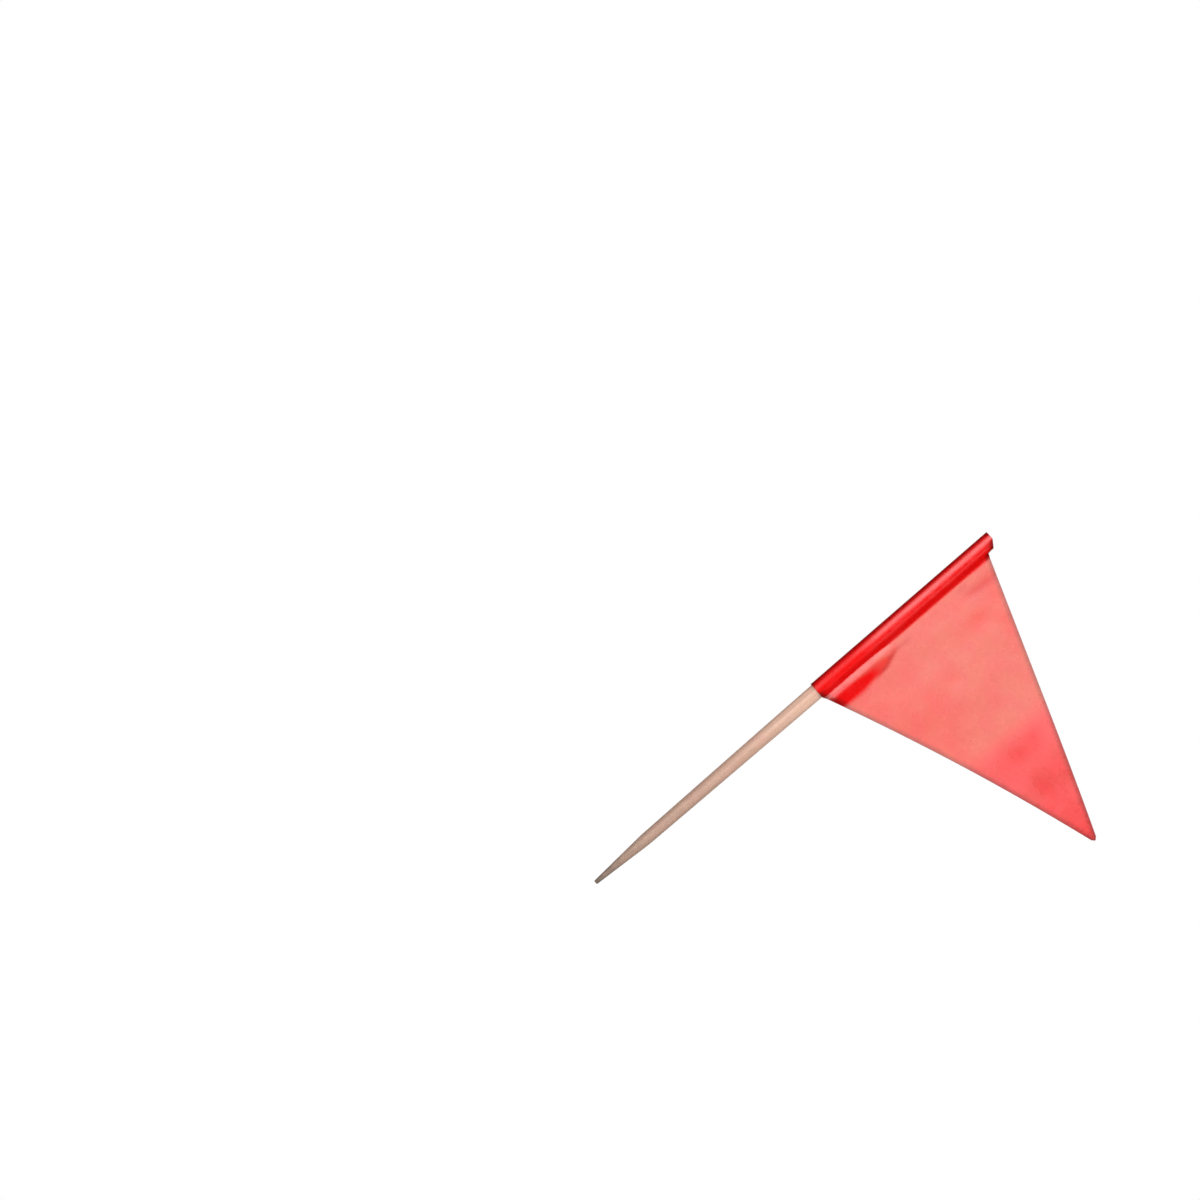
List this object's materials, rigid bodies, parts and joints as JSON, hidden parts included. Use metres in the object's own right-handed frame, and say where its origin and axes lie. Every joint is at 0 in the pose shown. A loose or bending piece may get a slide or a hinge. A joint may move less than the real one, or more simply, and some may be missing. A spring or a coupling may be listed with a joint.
{
  "type": "flag toothpick",
  "caption": "Round wooden pick, sharpened below, with a triangular pennant of glossy red film folded and glued round its upper end.",
  "frame": {"origin": "at the centre of the pick's blunt point", "axes": "+Z along the pick from its point to its cut end, +X from the pick towards the pennant's tip, -Y out of the pennant's front"},
  "size_m": [0.0378, 0.003, 0.065],
  "materials": {
    "wood": "bare turned wood, fine lengthwise grain",
    "adhesive": "clear acrylic adhesive film",
    "red_film": "glossy, faintly rippled"
  },
  "bodies": {
    "root": {"wooden_pick": "wood", "adhesive_coat": "adhesive", "flag_sheet": "red_film"}
  },
  "joints": []
}
